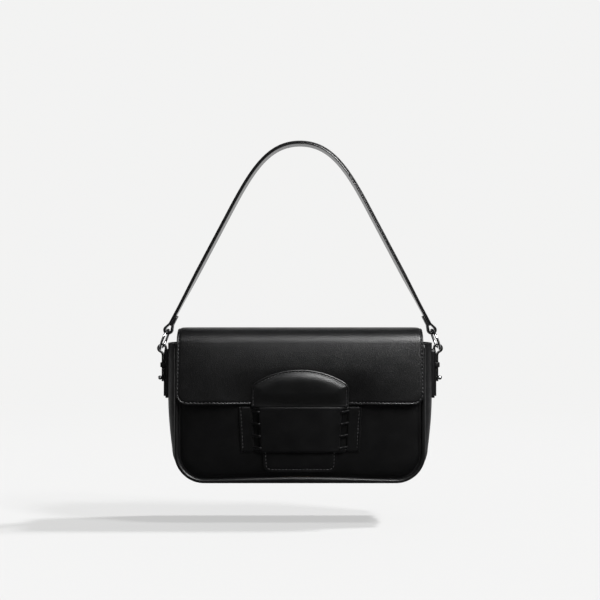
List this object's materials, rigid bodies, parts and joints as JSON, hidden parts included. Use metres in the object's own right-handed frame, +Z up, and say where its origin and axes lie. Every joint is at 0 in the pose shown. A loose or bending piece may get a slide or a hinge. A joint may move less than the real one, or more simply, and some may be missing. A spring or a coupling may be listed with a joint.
{
  "type": "shoulder bag",
  "caption": "Slim black leather shoulder bag: flap, padded tongue behind a laced keeper band, short strap on two chromed rings.",
  "frame": {"origin": "middle of the flat base, on the ground", "axes": "+X to the right seen from the front, +Y from the front panel to the back panel, +Z up towards the strap"},
  "size_m": [0.2922, 0.0735, 0.3455],
  "materials": {
    "leather": "satin",
    "soft_leather": "satin",
    "cloth": "matte",
    "board": "matte",
    "chrome": "polished"
  },
  "bodies": {
    "root": {"front_panel": "leather", "back_panel": "leather", "gusset": "leather", "front_piping": "leather", "back_piping": "leather", "base_board": "board", "lining": "cloth", "slip_pocket": "cloth", "flap_anchor": "leather", "keeper_band": "leather", "keeper_lacing": "soft_leather", "tab_patch_left": "leather", "tab_patch_right": "leather", "side_tab_left": "leather", "side_tab_right": "leather", "tab_keeper_left": "leather", "tab_keeper_right": "leather", "stud_left": "chrome", "stud_right": "chrome"},
    "flap": {"flap": "leather", "flap_lining": "soft_leather", "tongue": "soft_leather", "tongue_tail": "leather"},
    "strap": {"strap": "leather", "strap_lining": "soft_leather", "ring_left": "chrome", "ring_right": "chrome"}
  },
  "joints": [
    {"name": "flap_hinge", "type": "hinge", "parent": "root", "child": "flap", "pos_m": [0, 0.0339, 0.143], "axis": [-1, 0, 0], "range_deg": [0, 165], "deforming": ["tongue_tail", "strap", "strap_lining"]},
    {"name": "strap_swing", "type": "hinge", "parent": "root", "child": "strap", "pos_m": [0, 0, 0.1433], "axis": [1, 0, 0], "range_deg": [-40, 40]}
  ]
}
